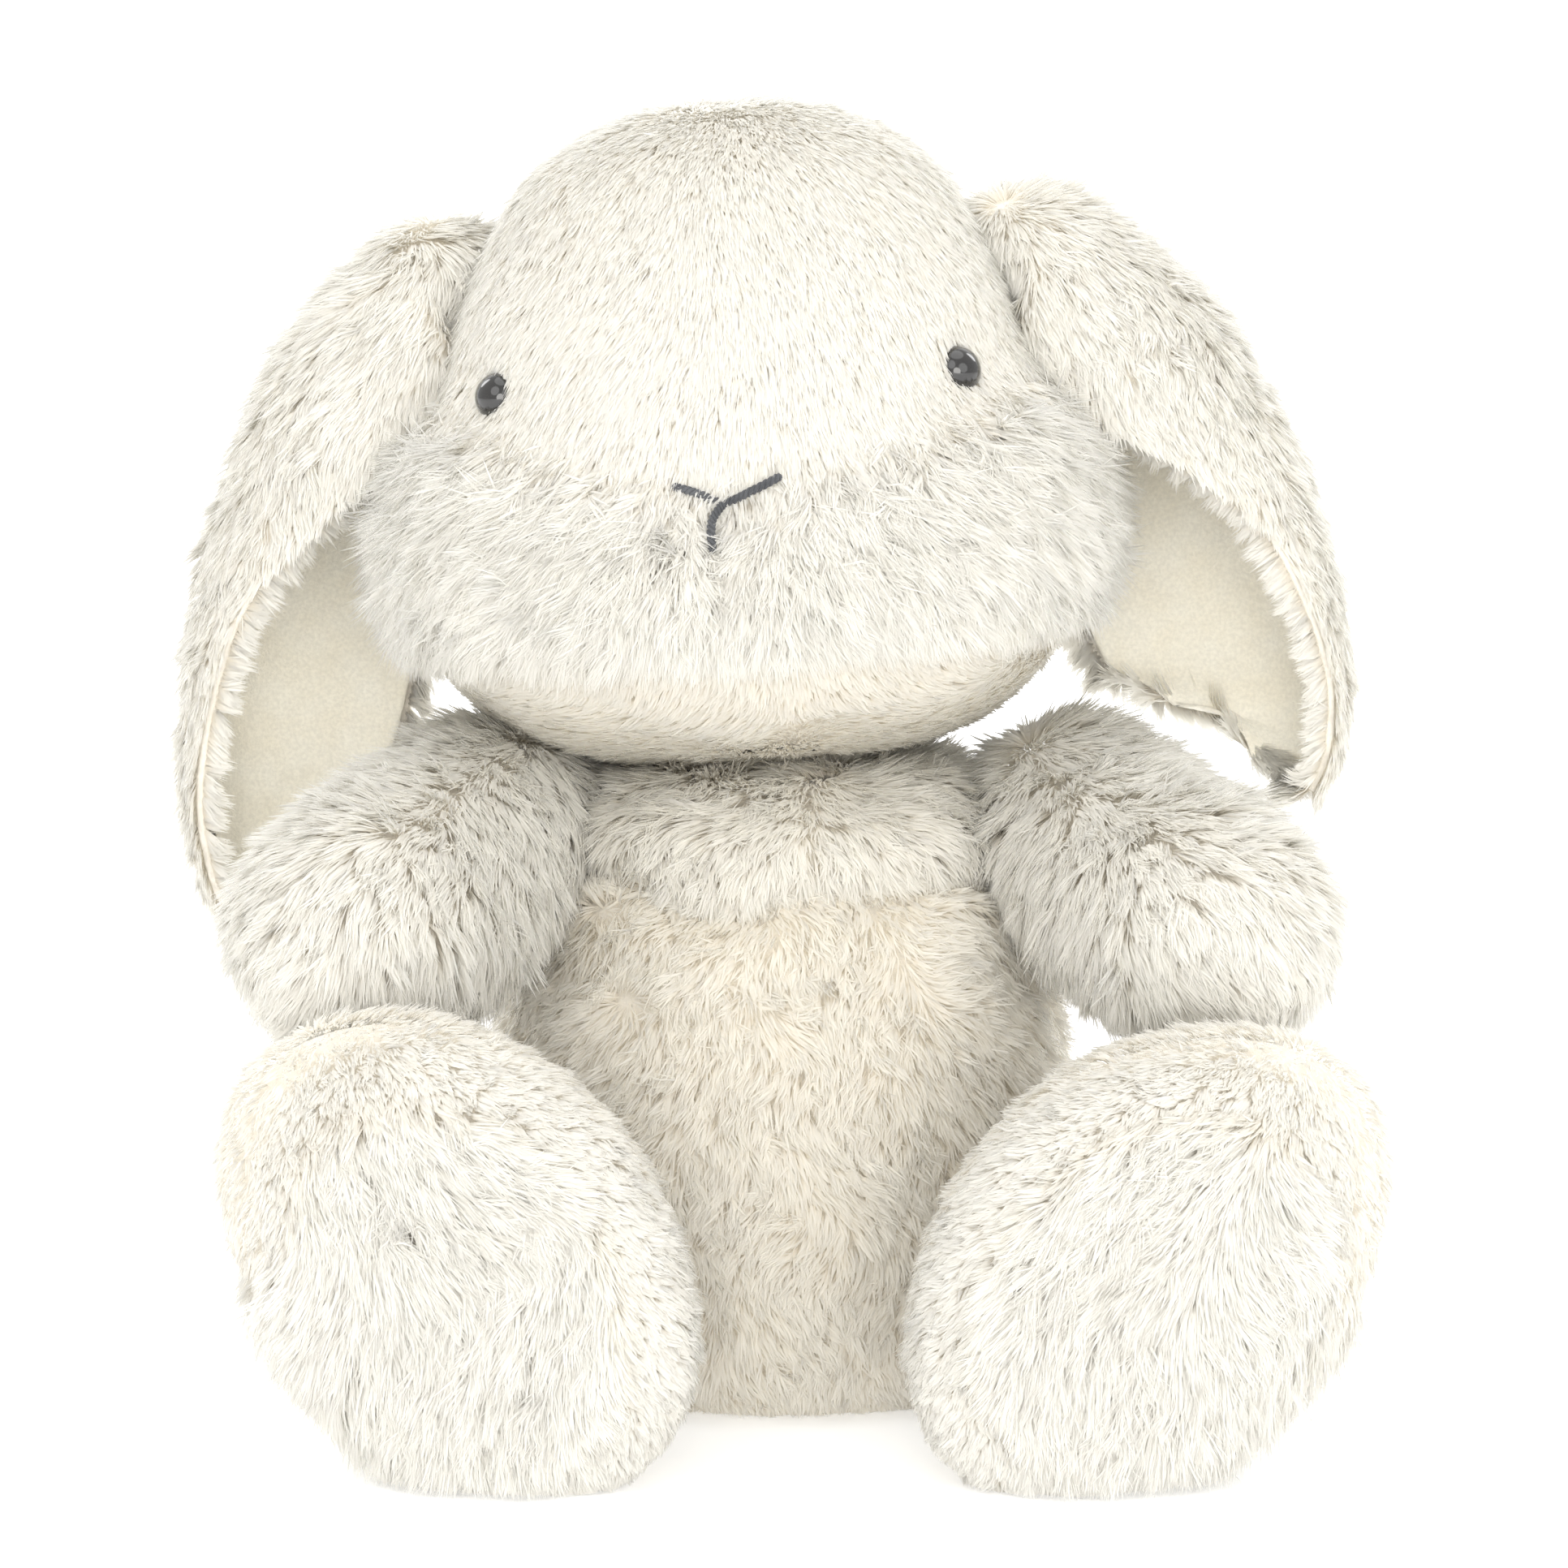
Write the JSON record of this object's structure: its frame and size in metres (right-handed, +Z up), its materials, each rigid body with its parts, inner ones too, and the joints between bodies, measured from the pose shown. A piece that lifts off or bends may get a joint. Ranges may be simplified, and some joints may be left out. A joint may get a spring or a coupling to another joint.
{
  "type": "stuffed bunny",
  "caption": "Seated stuffed bunny in fluffy white fur with a cream belly, long floppy velour-lined ears, black button eyes, a stitched nose, a round tail, and limbs and head that swing.",
  "frame": {"origin": "on the floor, at the middle of the flat base of the torso", "axes": "+Z up, the face looks along -Y, and the bunny's own left side is +X"},
  "size_m": [0.213, 0.1845, 0.2348],
  "materials": {
    "white_fur": "matte",
    "cream_fur": "matte",
    "ear_velour": "matte",
    "fibre_fill": "matte",
    "pellet_fill": "satin",
    "eye_plastic": "gloss",
    "washer_plastic": "satin",
    "dark_thread": "matte",
    "pale_thread": "matte",
    "label_tape": "satin"
  },
  "bodies": {
    "torso": {"back_panel": "white_fur", "chest_panel": "white_fur", "belly_panel": "cream_fur", "torso_stuffing": "fibre_fill", "seat_pellet_pouch": "pellet_fill", "closing_stitch": "pale_thread", "tail_cover": "white_fur", "tail_stuffing": "fibre_fill", "care_label": "label_tape"},
    "neck": {"neck_stuffing": "fibre_fill"},
    "head": {"forehead_panel": "white_fur", "muzzle_panel": "white_fur", "head_back_panel": "white_fur", "head_stuffing": "fibre_fill", "left_eye": "eye_plastic", "right_eye": "eye_plastic", "left_eye_washer": "washer_plastic", "right_eye_washer": "washer_plastic", "nose_stitch": "dark_thread", "mouth_stitch": "dark_thread"},
    "left_ear": {"left_ear_fur": "white_fur", "left_ear_lining": "ear_velour"},
    "right_ear": {"right_ear_fur": "white_fur", "right_ear_lining": "ear_velour"},
    "left_arm": {"left_arm_outer_panel": "white_fur", "left_arm_inner_panel": "white_fur", "left_arm_stuffing": "fibre_fill"},
    "right_arm": {"right_arm_outer_panel": "white_fur", "right_arm_inner_panel": "white_fur", "right_arm_stuffing": "fibre_fill"},
    "left_leg": {"left_leg_cover": "white_fur", "left_sole_panel": "white_fur", "left_leg_stuffing": "fibre_fill", "left_foot_pellets": "pellet_fill"},
    "right_leg": {"right_leg_cover": "white_fur", "right_sole_panel": "white_fur", "right_leg_stuffing": "fibre_fill", "right_foot_pellets": "pellet_fill"}
  },
  "joints": [
    {"name": "head_turn", "type": "hinge", "parent": "torso", "child": "neck", "pos_m": [-0.004, 0, 0.115], "axis": [0, 0, 1], "range_deg": [-15, 15]},
    {"name": "head_nod", "type": "hinge", "parent": "neck", "child": "head", "pos_m": [-0.004, 0, 0.115], "axis": [1, 0, 0], "range_deg": [-12, 12]},
    {"name": "left_ear_lift", "type": "hinge", "parent": "head", "child": "left_ear", "pos_m": [0.03757, 0.00753, 0.21272], "axis": [0, -1, 0], "range_deg": [0, 66]},
    {"name": "right_ear_lift", "type": "hinge", "parent": "head", "child": "right_ear", "pos_m": [-0.05613, 0.01245, 0.20699], "axis": [0, 1, 0], "range_deg": [0, 66]},
    {"name": "left_arm_swing", "type": "hinge", "parent": "torso", "child": "left_arm", "pos_m": [0.052, -0.008, 0.105], "axis": [-0.848, -0.5299, 0], "range_deg": [-12, 35]},
    {"name": "right_arm_swing", "type": "hinge", "parent": "torso", "child": "right_arm", "pos_m": [-0.052, -0.008, 0.105], "axis": [-0.848, 0.5299, 0], "range_deg": [-12, 35]},
    {"name": "left_leg_swing", "type": "hinge", "parent": "torso", "child": "left_leg", "pos_m": [0.052, -0.038, 0.0265], "axis": [-1, 0, 0], "range_deg": [-45, 8]},
    {"name": "right_leg_swing", "type": "hinge", "parent": "torso", "child": "right_leg", "pos_m": [-0.052, -0.038, 0.0265], "axis": [-1, 0, 0], "range_deg": [-45, 8]}
  ]
}
